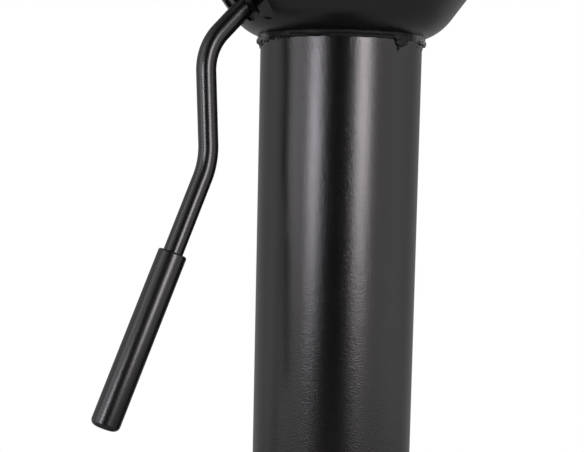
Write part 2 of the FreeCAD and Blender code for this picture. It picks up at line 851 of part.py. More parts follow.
def make_lever_rod():
    body = new_body("lever_rod")
    first, second, third = lever_corners()
    turn_one = 90 - S.slope_one + S.lean_two
    turn_two = S.lean_two + S.flare_three
    cut_one = S.bend_one * tangent(turn_one / 2)
    cut_two = S.bend_two * tangent(turn_two / 2)
    start = step_towards((ZERO, ZERO), first, S.run_one, socket_floor + S.socket_gap)
    rod_end = S.run_three - S.grip_end_wall
    points = [
        start,
        step_towards(first, (ZERO, ZERO), S.run_one, cut_one),
        step_towards(first, second, S.run_two, cut_one),
        step_towards(second, first, S.run_two, cut_two),
        step_towards(second, third, S.run_three, cut_two),
        step_towards(second, third, S.run_three, rod_end),
    ]
    spine = new_sketch(body, "lever_path", "XZ_Plane")
    outline(spine, points, {1: (S.bend_one, 1), 3: (S.bend_two, -1)}, closed=False)
    section = new_sketch(body, "lever_section", "YZ_Plane")
    tilt = FreeCAD.Rotation(Vector(1, 0, 0), -S.slope_one.value)
    section.AttachmentOffset = FreeCAD.Placement(Vector(0, start[1].value, start[0].value), tilt)
    circle(section, ZERO, ZERO, rod_radius)
    pipe = body.newObject("PartDesign::AdditivePipe", "lever_pipe")
    pipe.Profile = section
    pipe.Spine = (spine, [])
    pipe.Transition = "Transformed"
    finish_node(place(body, -pivot_reach, 0, pivot_z), "lever_rod")


def make_grip():
    body = new_body("grip_sleeve")
    sketch = new_sketch(body, "grip_outline", "XZ_Plane")
    outer = grip_diameter / 2
    bore = rod_radius + S.socket_gap
    length = S.grip_length
    top = S.grip_top_radius
    end = S.grip_end_radius
    points = [
        (ZERO, ZERO),
        (outer - end, ZERO),
        (outer, end),
        (outer, length - top),
        (outer - top, length),
        (bore, length),
        (bore, S.grip_end_wall - S.socket_gap),
        (ZERO, S.grip_end_wall - S.socket_gap),
    ]
    outline(sketch, points, {1: (end, 1), 3: (top, 1)})
    revolve(body, sketch)
    third = lever_corners()[2]
    place(body, third[0] - pivot_reach, 0, third[1] + pivot_z)
    turn_about_y(body, S.flare_three)
    finish_node(body, "grip_sleeve")


def make_hub():
    """The rocker's hub, drilled for the shaft, with a socket for the lever rod."""
    body = cylinder_along_y("hub_block", hub_radius, S.hub_half_length)
    bore = cylinder_along_y("hub_bore", shaft_radius + S.shaft_gap, S.hub_half_length * 2)
    socket = cylinder("hub_socket", rod_radius + S.socket_gap, hub_radius)
    outward = Vector(-cosine(S.slope_one).value, 0, -sine(S.slope_one).value)
    socket.setExpression(".Placement.Base.x", (-(socket_floor * cosine(S.slope_one))).text)
    socket.setExpression(".Placement.Base.z", (-(socket_floor * sine(S.slope_one))).text)
    socket.Placement = FreeCAD.Placement(socket.Placement.Base, FreeCAD.Rotation(Vector(0, 0, 1), outward))
    hub = cut("hub", cut("hub_drilled", body, bore), socket)
    finish_node(place(hub, -pivot_reach, 0, pivot_z), "rocker_hub")


# ---------------------------------------------------------------- snuffer
def open_snuffer(item, name, reach=ZERO):
    """Put a snuffer piece, drawn shut with its origin at a reach from the pivot, in its open place."""
    x = reach * cosine(S.snuffer_swing) - pivot_reach
    z = reach * sine(S.snuffer_swing) + pivot_z
    place(item, x, 0, z)
    turn_about_y(item, -S.snuffer_swing)
    finish_node(item, name)


def make_snuffer_arm():
    """A bent flat bar from the hub to above the cap, drawn with the snuffer shut."""
    body = new_body("arm_bar")
    sketch = new_sketch(body, "arm_outline", "XZ_Plane")
    half = S.arm_thickness / 2
    outer = S.arm_corner_radius
    inner = S.arm_corner_radius - S.arm_thickness
    tip = pivot_reach + S.arm_end_margin
    points = [
        (half, ZERO),
        (half, cap_top - inner),
        (half + inner, cap_top),
        (tip, cap_top),
        (tip, arm_top),
        (outer - half, arm_top),
        (-half, arm_top - outer),
        (-half, ZERO),
    ]
    points.reverse()
    outline(sketch, points, {1: (outer, -1), 5: (inner, 1)})
    pad(body, sketch, S.arm_width, midplane=True)
    saddle = cylinder_along_y("arm_saddle", hub_radius + S.arm_hub_gap, S.arm_width)
    hole = cylinder("arm_hole", S.stud_diameter / 2 + S.stud_gap, arm_top * 2, x=pivot_reach)
    arm = cut("arm", cut("arm_on_hub", body, saddle), hole)
    open_snuffer(arm, "snuffer_arm")


def make_snuffer_cap():
    body = new_body("snuffer_cup")
    sketch = new_sketch(body, "cup_outline", "XZ_Plane")
    outer = S.cap_radius
    inner = S.cap_radius - S.cap_wall
    low = -cap_below_pivot
    roof = cap_top - S.cap_wall
    hole = S.stud_diameter / 2 + S.stud_gap
    points = [
        (inner, low),
        (outer, low),
        (outer, cap_top),
        (hole, cap_top),
        (hole, roof),
        (inner, roof),
    ]
    outline(sketch, points)
    revolve(body, sketch)
    open_snuffer(body, "snuffer_cap", pivot_reach)


def make_snuffer_fixings():
    """The stud with its head under the cap's roof, and the washer and nut above the arm."""
    roof = cap_top - S.cap_wall
    stack = S.cap_wall + S.arm_thickness + S.stud_washer_thickness + S.nut_height
    head = cylinder("stud_head", S.stud_head_diameter / 2, S.stud_head_height, z=roof - S.stud_head_height)
    shank = cylinder("stud_shank", S.stud_diameter / 2, stack + S.stud_stand, z=roof)
    open_snuffer(fuse("stud", [head, shank]), "snuffer_stud", pivot_reach)
    bore = S.stud_diameter / 2 + S.thread_gap
    washer_radius = S.stud_washer_diameter / 2
    washer_outer = cylinder("stud_washer_disc", washer_radius, S.stud_washer_thickness, z=arm_top)
    washer_bore = cylinder("stud_washer_bore", bore, S.stud_washer_thickness, z=arm_top)
    open_snuffer(cut("stud_washer", washer_outer, washer_bore), "snuffer_washer", pivot_reach)
    nut_z = arm_top + S.stud_washer_thickness
    block = place(prism("nut_block", 6, S.nut_flats, S.nut_height), 0, 0, nut_z)
    nut_bore = cylinder("nut_bore", bore, S.nut_height, z=nut_z)
    open_snuffer(cut("stud_nut", block, nut_bore), "snuffer_nut", pivot_reach)


# ---------------------------------------------------------------- build and export
def check_document():
    doc.recompute()
    for item in doc.Objects:
        if "Invalid" in item.State or "Error" in item.State:
            raise RuntimeError(item.Name + " failed: " + str(item.State))
    for item in nodes:
        shape = item.Shape
        if shape.isNull() or not shape.isValid() or not shape.Solids:
            raise RuntimeError(item.Label + " has no valid solid")


def main():
    make_base_plate()
    make_feet()
    make_flange()
    make_flange_bolts()
    make_foot_weld()
    make_column()
    make_bowl()
    make_bowl_rim()
    make_bowl_weld()
    make_tank()
    make_gasket()
    make_burner_cap()
    make_wick_parts()
    make_bearing()
    make_hub()
    make_lever_rod()
    make_grip()
    make_snuffer_arm()
    make_snuffer_cap()
    make_snuffer_fixings()
    check_document()
    os.makedirs("parts", exist_ok=True)
    for item in nodes:
        item.Shape.exportStep("parts/" + item.Label + ".step")
        box = item.Shape.BoundBox
        print("%-22s solids %d volume %10.1f  x %7.1f %7.1f  y %7.1f %7.1f  z %7.1f %7.1f" % (
            item.Label, len(item.Shape.Solids), item.Shape.Volume,
            box.XMin, box.XMax, box.YMin, box.YMax, box.ZMin, box.ZMax))


main()
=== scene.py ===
import json
import math

import bpy
from mathutils import Matrix, Vector


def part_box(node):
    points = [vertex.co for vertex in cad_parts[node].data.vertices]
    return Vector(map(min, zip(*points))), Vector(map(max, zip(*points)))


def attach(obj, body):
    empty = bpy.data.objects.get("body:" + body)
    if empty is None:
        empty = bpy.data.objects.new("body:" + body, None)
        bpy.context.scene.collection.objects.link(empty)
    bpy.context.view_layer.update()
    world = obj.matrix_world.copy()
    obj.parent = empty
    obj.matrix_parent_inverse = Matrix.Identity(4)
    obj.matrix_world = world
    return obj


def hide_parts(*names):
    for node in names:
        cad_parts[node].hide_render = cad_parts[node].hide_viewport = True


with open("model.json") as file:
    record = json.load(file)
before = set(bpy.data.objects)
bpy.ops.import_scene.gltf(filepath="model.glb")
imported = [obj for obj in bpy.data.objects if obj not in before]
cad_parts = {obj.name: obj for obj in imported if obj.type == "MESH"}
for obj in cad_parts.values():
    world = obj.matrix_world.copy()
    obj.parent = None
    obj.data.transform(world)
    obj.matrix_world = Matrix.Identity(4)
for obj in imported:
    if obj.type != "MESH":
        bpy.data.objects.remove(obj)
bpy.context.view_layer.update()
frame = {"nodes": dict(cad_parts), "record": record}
nodes = frame["nodes"]
MM = 0.001


# ---------------------------------------------------------------- places from the frame
def low_corner(node):
    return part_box(node)[0]


def high_corner(node):
    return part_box(node)[1]


def centre_of(node):
    return (low_corner(node) + high_corner(node)) / 2


BOWL_LIFT = 1.4 * MM                    # bowl floor above the plane of the column's edge
COLUMN_TOP = low_corner("bowl").z - BOWL_LIFT
TUBE_RADIUS = high_corner("column_tube").x
TUBE_WALL = 3.0 * MM
TUBE_BOTTOM = low_corner("column_tube").z
TUBE_TOP = high_corner("column_tube").z
FLANGE_TOP = high_corner("foot_flange").z
BOWL_FLOOR = low_corner("bowl").z
BOWL_TOP = high_corner("bowl").z
BOWL_WALL = 2.0 * MM
BOWL_CORNER = 32.0 * MM                 # outside radius of the floor corner
BOWL_FLOOR_RADIUS = 42.5 * MM           # flat part of the floor
BOWL_SLOPE = math.radians(53.64)
BOWL_HOLE = 31.0 * MM                   # hole that the fuel tank drops through
SLOT_HALF_WIDTH = 6.6 * MM
SLOT_LOW = -8.0 * MM                    # along the wall from the start of its straight part
SLOT_HIGH = 62.0 * MM
SLOT_PITCH = math.radians(15.3)
PIVOT = centre_of("rocker_shaft")

# ---------------------------------------------------------------- camera
CAMERA_REACH = Vector((-0.3632, -0.5813, -0.0620))
CAMERA_HEADING = -29.620
CAMERA_TILT = -4.576
CAMERA_ROLL = 1.252
CAMERA_LENS = 66.24
CAMERA_CLIP = 0.05
FRONT = Vector((CAMERA_REACH.x, CAMERA_REACH.y, 0)).normalized()
RIGHT = Vector((-FRONT.y, FRONT.x, 0))


def turn(degrees, axis):
    return Matrix.Rotation(math.radians(degrees), 4, axis)


def make_camera():
    data = bpy.data.cameras.new("camera")
    data.lens = CAMERA_LENS
    data.clip_start = CAMERA_CLIP
    camera = bpy.data.objects.new("camera", data)
    bpy.context.scene.collection.objects.link(camera)
    place = Matrix.Translation(Vector((0, 0, COLUMN_TOP)) + CAMERA_REACH)
    aim = turn(CAMERA_HEADING, "Z") @ turn(90 + CAMERA_TILT, "X") @ turn(CAMERA_ROLL, "Z")
    camera.matrix_world = place @ aim
    bpy.context.scene.camera = camera


# ---------------------------------------------------------------- finishes
class Channel:
    """A shader socket that can be used in sums."""

    def __init__(self, finish, socket):
        self.finish = finish
        self.socket = socket

    def maths(self, operation, *values):
        settings = {"operation": operation}
        node = self.finish.node("ShaderNodeMath", settings, *values)
        return Channel(self.finish, node.outputs[0])

    def __add__(self, other):
        return self.maths("ADD", self, other)

    def __sub__(self, other):
        return self.maths("SUBTRACT", self, other)

    def __rsub__(self, other):
        return self.maths("SUBTRACT", other, self)

    def __mul__(self, other):
        return self.maths("MULTIPLY", self, other)

    def __truediv__(self, other):
        return self.maths("DIVIDE", self, other)

    __radd__ = __add__
    __rmul__ = __mul__

    def size(self):
        return self.maths("ABSOLUTE", self)

    def root(self):
        return self.maths("SQRT", self)

    def sine(self):
        return self.maths("SINE", self)

    def hold(self):
        """The value kept between 0 and 1."""
        return self.maths("MINIMUM", self.maths("MAXIMUM", self, 0.0), 1.0)

    def step(self, start, end):
        """Rises from 0 at start to 1 at end."""
        return ((self - start) / (end - start)).hold()


MIX_FIRST_COLOUR = 6                    # places of the mix node's colour sockets
MIX_SECOND_COLOUR = 7
MIX_COLOUR_RESULT = 2


class Finish:
    """A node tree with one method that adds any node."""

    def __init__(self, tree):
        self.tree = tree

    def node(self, kind, settings=None, *values, **named):
        """Add a node, set it up, then fill its inputs in order or by name."""
        node = self.tree.nodes.new(kind)
        for key, value in (settings or {}).items():
            if key == "stops":
                self.set_stops(node.color_ramp, value)
            else:
                setattr(node, key, value)
        for number, value in enumerate(values):
            self.fill(node.inputs[number], value)
        for name, value in named.items():
            self.fill(node.inputs[name.replace("_", " ")], value)
        return node

    def set_stops(self, ramp, stops):
        while len(ramp.elements) < len(stops):
            ramp.elements.new(1.0)
        for element, (place, tone) in zip(ramp.elements, stops):
            element.position = place
            element.color = (*tone, 1.0)

    def fill(self, socket, value):
        if isinstance(value, Channel):
            self.tree.links.new(value.socket, socket)
        elif isinstance(value, bpy.types.NodeSocket):
            self.tree.links.new(value, socket)
        else:
            socket.default_value = value

    def channel(self, kind, settings=None, *values, **named):
        """Add a node and return its first output as a channel."""
        node = self.node(kind, settings, *values, **named)
        return Channel(self, node.outputs[0])

    def object_place(self):
        return self.node("ShaderNodeTexCoord").outputs["Object"]

    def split(self, vector):
        parts = self.node("ShaderNodeSeparateXYZ", None, vector)
        return [Channel(self, socket) for socket in parts.outputs]

    def noise(self, place, size, detail=2.0):
        """Noise between 0 and 1 with features of about one size, in metres."""
        return self.channel("ShaderNodeTexNoise", None, Vector=place, Scale=1 / size, Detail=detail)

    def blend(self, share, one, other):
        """A colour between two colours."""
        mix = self.node("ShaderNodeMix", {"data_type": "RGBA"}, share)
        self.fill(mix.inputs[MIX_FIRST_COLOUR], one)
        self.fill(mix.inputs[MIX_SECOND_COLOUR], other)
        return mix.outputs[MIX_COLOUR_RESULT]

    def bump(self, height, depth):
        """A normal from a height between 0 and 1 that stands for a depth in metres."""
        return self.node("ShaderNodeBump", None, Height=height, Distance=depth).outputs[0]


class Material(Finish):
    """A physical material whose shader's sockets are set by name."""

    def __init__(self, name):
        self.material = bpy.data.materials.new(name)
        self.material.use_nodes = True
        super().__init__(self.material.node_tree)
        self.shader = self.tree.nodes["Principled BSDF"]
        self.place = self.object_place()

    def set(self, **sockets):
        for name, value in sockets.items():
            self.fill(self.shader.inputs[name.replace("_", " ")], value)


def colour(red, green, blue):
    return (red, green, blue, 1.0)


def round_place(finish):
    """Radius from the column's axis, and height, as channels."""
    east, north, height = finish.split(finish.place)
    return (east * east + north * north).root(), height


COOL_BLACK = colour(1.0, 0.955, 0.98)   # tint of the black pieces' reflections
PEEL_SIZE = 0.9 * MM
PEEL_SHARE = 0.75                       # of the coat's relief, the rest is waves
WAVE_SIZE = 4.0 * MM
COAT_PATCH_SIZE = 28.0 * MM
TUBE_PEEL = 0.16 * MM
TUBE_POLISH = 0.19                      # least roughness of the coat on large pieces
LEVER_PEEL = 0.04 * MM
LEVER_POLISH = 0.22


def powder_coat(name, depth, polish):
    """Satin black powder coat: fine orange peel on broad, faint waves."""
    finish = Material(name)
    peel = finish.noise(finish.place, PEEL_SIZE, detail=2.0)
    wave = finish.noise(finish.place, WAVE_SIZE, detail=1.0)
    patch = finish.noise(finish.place, COAT_PATCH_SIZE, detail=3.0)
    height = peel * PEEL_SHARE + wave * (1 - PEEL_SHARE)
    tone = finish.blend(patch, colour(0.0011, 0.0010, 0.0011), colour(0.0019, 0.0018, 0.0018))
    finish.set(
        Base_Color=tone,
        Roughness=polish + 0.04 * patch + 0.03 * peel,
        Normal=finish.bump(height, depth),
        IOR=1.5,
        Specular_Tint=COOL_BLACK,
    )
    return finish.material


RAGGED_AND_GLINT_ENDS = (-43, -203)               # azimuths in degrees where the bowl's weld is ragged, and where painted light specks stand for reflection, near the outlines that the camera sees
GLINT_REACH = 0.93                     # cosine of the angle from there at which the painted light specks end
WELD_GRAIN_SIZE = 0.6 * MM
WELD_PATCH_SIZE = 2.5 * MM
WELD_GRAIN_RELIEF = 0.35 * MM
# size and edges of the painted light specks: a painted reflection at the weld's two ends
GLINT_SPECK_SIZE = 0.9 * MM
GRAIN_EDGE = (0.40, 0.60)               # noise at which the glossy grain starts and is full
GLINT_SPECK_EDGE = (0.44, 0.60)
GLOSS_ALONG = 0.06                      # gloss of the weld's grain away from its ragged ends


def weld_coat():
    """The same coat where it has run thin over a rough bead, with painted light specks at its ragged
    ends: a painted reflection, placed near the outlines that the camera sees.
    """
    finish = Material("weld_coat")
    grain = finish.noise(finish.place, WELD_GRAIN_SIZE, detail=4.0)
    patch = finish.noise(finish.place, WELD_PATCH_SIZE, detail=3.0)
    east, north = finish.split(finish.place)[:2]
    # mask of the two ends near the outlines that the camera sees; it places the painted light specks
    # and the extra gloss
    ends = 0.0
    for azimuth in RAGGED_AND_GLINT_ENDS:
        angle = math.radians(azimuth)
        towards = east * math.cos(angle) + north * math.sin(angle)
        ends = ends + towards.step(GLINT_REACH * TUBE_RADIUS, TUBE_RADIUS)
    run = finish.blend(patch, colour(0.0006, 0.0006, 0.0006), colour(0.003, 0.003, 0.003))
    # painted reflection: light grey specks at the two ends, standing for the light that the weld's
    # outlines catch
    painted_glint = finish.noise(finish.place, GLINT_SPECK_SIZE, detail=2.0).step(*GLINT_SPECK_EDGE) * ends
    tone = finish.blend(painted_glint, run, colour(0.20, 0.20, 0.20))
    finish.set(
        Base_Color=tone,
        Roughness=0.30 + 0.30 * patch,
        Coat_Weight=grain.step(*GRAIN_EDGE) * (GLOSS_ALONG + (1 - GLOSS_ALONG) * ends),
        Coat_Roughness=0.16,
        Normal=finish.bump(grain, WELD_GRAIN_RELIEF),
        IOR=1.26,
    )
    return finish.material


RUBBER_GRAIN_SIZE = 0.5 * MM
RUBBER_GRAIN_RELIEF = 0.12 * MM
RUBBER_PATCH_SIZE = 9.0 * MM


def black_rubber():
    """Matt black rubber, a little paler and rougher in patches."""
    finish = Material("black_rubber")
    grain = finish.noise(finish.place, RUBBER_GRAIN_SIZE, detail=3.0)
    patch = finish.noise(finish.place, RUBBER_PATCH_SIZE, detail=3.0)
    tone = finish.blend(patch, colour(0.012, 0.012, 0.012), colour(0.026, 0.025, 0.024))
    finish.set(
        Base_Color=tone,
        Roughness=0.68 + 0.2 * patch,
        Normal=finish.bump(grain, RUBBER_GRAIN_RELIEF),
    )
    return finish.material


SPARK_GRAIN_SIZE = 0.55 * MM
SPARK_GRAIN_RELIEF = 0.03 * MM
GRIP_WEAR_SIZE = 14.0 * MM


def grip_plastic():
    """Moulded sleeve with a fine spark grain, a little paler and rougher in patches."""
    finish = Material("grip_plastic")
    grain = finish.noise(finish.place, SPARK_GRAIN_SIZE, detail=2.0)
    wear = finish.noise(finish.place, GRIP_WEAR_SIZE, detail=3.0)
    tone = finish.blend(wear, colour(0.0018, 0.0018, 0.0018), colour(0.0036, 0.0035, 0.0034))
    finish.set(
        Base_Color=tone,
        Roughness=0.235 + 0.06 * wear,
        Normal=finish.bump(grain, SPARK_GRAIN_RELIEF),
        IOR=1.48,
        Specular_Tint=COOL_BLACK,
    )
    return finish.material


TOOL_PITCH = 0.5 * MM                   # of the rings that the lathe leaves
TOOL_LEAN = 2.4                         # rings per pitch across a flat face
TOOL_RELIEF = 0.02 * MM
TARNISH_SIZE = 6.0 * MM
TARNISH_EDGE = (0.42, 0.68)


def burner_brass():
    """Turned brass with tarnish in patches and fine tool rings."""
    finish = Material("burner_brass")
    radius, height = round_place(finish)
    rings = ((radius * TOOL_LEAN + height) * (2 * math.pi / TOOL_PITCH)).sine()
    tarnish = finish.noise(finish.place, TARNISH_SIZE, detail=5.0).step(*TARNISH_EDGE)
    tone = finish.blend(tarnish, colour(0.66, 0.45, 0.17), colour(0.30, 0.18, 0.075))
    finish.set(
        Base_Color=tone,
        Metallic=1.0,
        Roughness=0.26 + 0.22 * tarnish,
        Normal=finish.bump(rings * 0.5 + 0.5, TOOL_RELIEF),
    )
    return finish.material


FRAY = 3.0 * MM                         # how unevenly the wick has burnt
FRAY_SIZE = 1.6 * MM
FIBRE_SIZE = 0.35 * MM
FIBRE_RELIEF = 0.3 * MM
BURNT_FROM = 3.6 * MM                   # below the wick's top
BURNT_TO = 0.8 * MM
SCORCHED_FROM = 6.5 * MM
SCORCHED_TO = 2.5 * MM


def wick_fibre():
    """Braided glass fibre: cream below, scorched and then black at its burnt top."""
    finish = Material("wick_fibre")
    height = finish.split(finish.place)[2]
    top = high_corner("wick").z
    fray = finish.noise(finish.place, FRAY_SIZE, detail=3.0) * FRAY
    burnt = (height + fray).step(top - BURNT_FROM, top - BURNT_TO)
    scorched = (height + fray).step(top - SCORCHED_FROM, top - SCORCHED_TO)
    fibre = finish.noise(finish.place, FIBRE_SIZE, detail=3.0)
    clean = finish.blend(fibre, colour(0.60, 0.55, 0.44), colour(0.80, 0.76, 0.66))
    brown = finish.blend(scorched, clean, colour(0.16, 0.09, 0.04))
    tone = finish.blend(burnt, brown, colour(0.010, 0.009, 0.009))
    finish.set(Base_Color=tone, Roughness=0.95, Normal=finish.bump(fibre, FIBRE_RELIEF))
    return finish.material


BRUSH_SIZE = 2.2 * MM
BRUSH_FINENESS = 9.0                    # the marks are this many times finer than BRUSH_SIZE
METAL_PATCH_SIZE = 7.0 * MM
TANK_BRUSH = 0.02 * MM                  # depth of the marks
ZINC_BRUSH = 0.03 * MM


def brushed_metal(name, dark, bright, roughness, brush_depth):
    """Metal with fine marks that run round the column's axis."""
    finish = Material(name)
    radius, height = round_place(finish)
    fine_radius, fine_height = radius * BRUSH_FINENESS, height * BRUSH_FINENESS
    across = finish.node("ShaderNodeCombineXYZ", None, fine_radius, fine_height, 0.0).outputs[0]
    marks = finish.noise(across, BRUSH_SIZE, detail=4.0)
    patch = finish.noise(finish.place, METAL_PATCH_SIZE, detail=4.0)
    finish.set(
        Base_Color=finish.blend(patch, dark, bright),
        Metallic=1.0,
        Roughness=roughness + 0.12 * patch + 0.08 * marks,
        Normal=finish.bump(marks, brush_depth),
    )
    return finish.material


def tank_steel():
    dark, bright = colour(0.42, 0.42, 0.43), colour(0.58, 0.58, 0.58)
    return brushed_metal("tank_steel", dark, bright, roughness=0.26, brush_depth=TANK_BRUSH)


def zinc_steel():
    dark, bright = colour(0.40, 0.41, 0.44), colour(0.62, 0.61, 0.57)
    return brushed_metal("zinc_steel", dark, bright, roughness=0.30, brush_depth=ZINC_BRUSH)


FINISHES = {
    "powder_coat": powder_coat("powder_coat", TUBE_PEEL, TUBE_POLISH),
    "lever_coat": powder_coat("lever_coat", LEVER_PEEL, LEVER_POLISH),
    "black_rubber": black_rubber(),
    "grip_plastic": grip_plastic(),
    "burner_brass": burner_brass(),
    "wick_fibre": wick_fibre(),
    "tank_steel": tank_steel(),
    "zinc_steel": zinc_steel(),
    "weld_coat": weld_coat(),
}
SLOT_OF = {part["node"]: part["material_slot"] for part in frame["record"]["subparts"]}


def finish_frame():
    """Give every CAD node the finish that its slot names."""
    for name, item in nodes.items():
        item.data.materials.clear()
        item.data.materials.append(FINISHES[SLOT_OF[name]])


# ---------------------------------------------------------------- modelling helpers
MERGE_DISTANCE = 0.001 * MM


def pick(piece):
    """Select one piece alone and make it the active one."""
    bpy.ops.object.select_all(action="DESELECT")
    piece.select_set(True)
    bpy.context.view_layer.objects.active = piece


def edit(piece, mode="VERT"):
    pick(piece)
    bpy.ops.object.mode_set(mode="EDIT")
    bpy.ops.mesh.select_mode(type=mode)


def leave():
    bpy.ops.object.mode_set(mode="OBJECT")


def settle(piece):
    """Put the piece's place, turn and size into its mesh."""
    pick(piece)
    bpy.ops.object.transform_apply(location=True, rotation=True, scale=True)


def modify(piece, kind, **settings):
    """Add a modifier, set it up and apply it."""
    pick(piece)
    modifier = piece.modifiers.new(kind.lower(), kind)
    for key, value in settings.items():
        setattr(modifier, key, value)
    bpy.ops.object.modifier_apply(modifier=modifier.name)


def smooth(piece, degrees=35):
    pick(piece)
    bpy.ops.object.shade_smooth_by_angle(angle=math.radians(degrees))


def face_out(piece):
    edit(piece)
    bpy.ops.mesh.select_all(action="SELECT")
    bpy.ops.mesh.remove_doubles(threshold=MERGE_DISTANCE)
    bpy.ops.mesh.normals_make_consistent(inside=False)
    leave()


def arc(centre, radius, start, end, steps):
    """Points on an arc in the plane of radius and height; angles in degrees from outwards."""
    points = []
    for number in range(steps + 1):
        angle = math.radians(start + (end - start) * number / steps)
        points.append((centre[0] + radius * math.cos(angle), centre[1] + radius * math.sin(angle)))
    return points


def turned(name, profile, segments, closed=True):
    """A turned piece: a ring that is extruded and scaled through the points of its profile.

    A closed profile comes back to its first ring; an open one has both ends filled.
    """
    radius, height = profile[0]
    bpy.ops.object.select_all(action="DESELECT")
    bpy.ops.mesh.primitive_circle_add(vertices=segments, radius=radius, location=(0, 0, height))
    piece = bpy.context.active_object
    piece.name = name
    edit(piece)
    bpy.ops.mesh.select_all(action="SELECT")
    if not closed:
        bpy.ops.mesh.edge_face_add()
    path = profile[1:] + ([profile[0]] if closed else [])
    for next_radius, next_height in path:
        rise = {"value": (0, 0, next_height - height)}
        bpy.ops.mesh.extrude_edges_move(TRANSFORM_OT_translate=rise)
        share = next_radius / radius
        bpy.ops.transform.resize(value=(share, share, 1))
        radius, height = next_radius, next_height
    if not closed:
        bpy.ops.mesh.edge_face_add()
    leave()
    settle(piece)
    face_out(piece)
    return piece


def finish_piece(piece, finish, slot, body, *replaced):
    piece.data.materials.clear()
    piece.data.materials.append(FINISHES[finish])
    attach(piece, body)
    if replaced:
        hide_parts(*replaced)


# ---------------------------------------------------------------- column
TUBE_SEGMENTS = 192
TUBE_EDGE = 0.4 * MM


def make_column():
    """The column's tube, with its edges eased."""
    inner = TUBE_RADIUS - TUBE_WALL
    profile = [
        (TUBE_RADIUS, TUBE_BOTTOM + TUBE_EDGE),
        (TUBE_RADIUS, TUBE_TOP - TUBE_EDGE),
        (TUBE_RADIUS - TUBE_EDGE, TUBE_TOP),
        (inner + TUBE_EDGE, TUBE_TOP),
        (inner, TUBE_TOP - TUBE_EDGE),
        (inner, TUBE_BOTTOM + TUBE_EDGE),
        (inner + TUBE_EDGE, TUBE_BOTTOM),
        (TUBE_RADIUS - TUBE_EDGE, TUBE_BOTTOM),
    ]
    column = turned("column_pipe", profile, TUBE_SEGMENTS)
    smooth(column)
    finish_piece(column, "powder_coat", "powder_coat", "torch", "column_tube")


# ---------------------------------------------------------------- bowl
BOWL_SEGMENTS = 240
CORNER_STEPS = 14
SLOT_END_SEGMENTS = 40
SLOT_CUT_DEPTH = 9.0 * MM
SLOT_EDGE = 0.45 * MM


def wall_point(radius_of_corner, along):
    """A point on the bowl's outer or inner wall, at a length from the start of its straight part."""
    reach = BOWL_FLOOR_RADIUS + radius_of_corner * math.sin(BOWL_SLOPE) + along * math.cos(BOWL_SLOPE)
    rise = BOWL_CORNER - radius_of_corner * math.cos(BOWL_SLOPE) + along * math.sin(BOWL_SLOPE)
    return reach, BOWL_FLOOR + rise


def wall_length(radius_of_corner):
    start = wall_point(radius_of_corner, 0)[1]
    return (BOWL_TOP - start) / math.sin(BOWL_SLOPE)


def make_slot_cutter(azimuth):
    """An obround block that stands square to the wall."""
    bpy.ops.object.select_all(action="DESELECT")
    bpy.ops.mesh.primitive_cylinder_add(
        vertices=SLOT_END_SEGMENTS, radius=SLOT_HALF_WIDTH, depth=2 * SLOT_CUT_DEPTH)
    cutter = bpy.context.active_object
    edit(cutter)
    bpy.ops.mesh.select_all(action="DESELECT")
    leave()
    for vertex in cutter.data.vertices:
        vertex.select = vertex.co.y > 0
    edit(cutter)
    stretch = SLOT_HIGH - SLOT_LOW - 2 * SLOT_HALF_WIDTH
    bpy.ops.transform.translate(value=(0, stretch, 0))
    leave()
    reach, height = wall_point(BOWL_CORNER, SLOT_LOW + SLOT_HALF_WIDTH)
    upright = Matrix.Rotation(math.pi / 2, 4, "Z") @ Matrix.Rotation(BOWL_SLOPE, 4, "X")
    upright = Matrix.Rotation(azimuth + math.pi, 4, "Z") @ upright
    place = Matrix.Translation((reach * math.cos(azimuth), reach * math.sin(azimuth), height))
    cutter.matrix_world = place @ upright
    settle(cutter)
    return cutter


def make_bowl():
    """The fire bowl: a spun shell with six slots, their edges eased."""
    inner_corner = BOWL_CORNER - BOWL_WALL
    slope = math.degrees(BOWL_SLOPE)
    centre = (BOWL_FLOOR_RADIUS, BOWL_FLOOR + BOWL_CORNER)
    profile = [(BOWL_HOLE, BOWL_FLOOR)]
    profile += arc(centre, BOWL_CORNER, -90, slope - 90, CORNER_STEPS)
    profile.append(wall_point(BOWL_CORNER, wall_length(BOWL_CORNER)))
    profile.append(wall_point(inner_corner, wall_length(inner_corner)))
    profile += arc(centre, inner_corner, slope - 90, -90, CORNER_STEPS)
    profile.append((BOWL_HOLE, BOWL_FLOOR + BOWL_WALL))
    bowl = turned("fire_bowl", profile, BOWL_SEGMENTS)
    for side in (math.pi, 0):
        for step in (-1, 0, 1):
            cutter = make_slot_cutter(side + step * SLOT_PITCH)
            modify(bowl, "BOOLEAN", operation="DIFFERENCE", solver="EXACT", object=cutter)
            bpy.data.objects.remove(cutter)
    sharp = math.radians(50)
    modify(bowl, "BEVEL", width=SLOT_EDGE, segments=3, limit_method="ANGLE", angle_limit=sharp)
    smooth(bowl, degrees=40)
    modify(bowl, "WEIGHTED_NORMAL", keep_sharp=True, weight=50)
    finish_piece(bowl, "powder_coat", "powder_coat", "torch", "bowl")


# ---------------------------------------------------------------- welds
def cloud_texture(name, size, depth):
    texture = bpy.data.textures.new(name, "CLOUDS")
    texture.noise_scale = size
    texture.noise_depth = depth
    return texture


LUMP_SEGMENTS = 24
LUMP_RINGS = 16


def add_lump(azimuth, reach, height, radii):
    """A flattened ball of weld metal: radii along, out of and up the joint."""
    bpy.ops.object.select_all(action="DESELECT")
    bpy.ops.mesh.primitive_uv_sphere_add(segments=LUMP_SEGMENTS, ring_count=LUMP_RINGS, radius=1.0)
    lump = bpy.context.active_object
    angle = math.radians(azimuth)
    place = Matrix.Translation((reach * math.cos(angle), reach * math.sin(angle), height))
    turned_out = Matrix.Rotation(angle - math.pi / 2, 4, "Z")
    lump.matrix_world = place @ turned_out @ Matrix.Diagonal((*radii, 1.0))
    settle(lump)
    return lump


def join(pieces, name):
    bpy.ops.object.select_all(action="DESELECT")
    for piece in pieces:
        piece.select_set(True)
    bpy.context.view_layer.objects.active = pieces[0]
    bpy.ops.object.join()
    pieces[0].name = name
    return pieces[0]


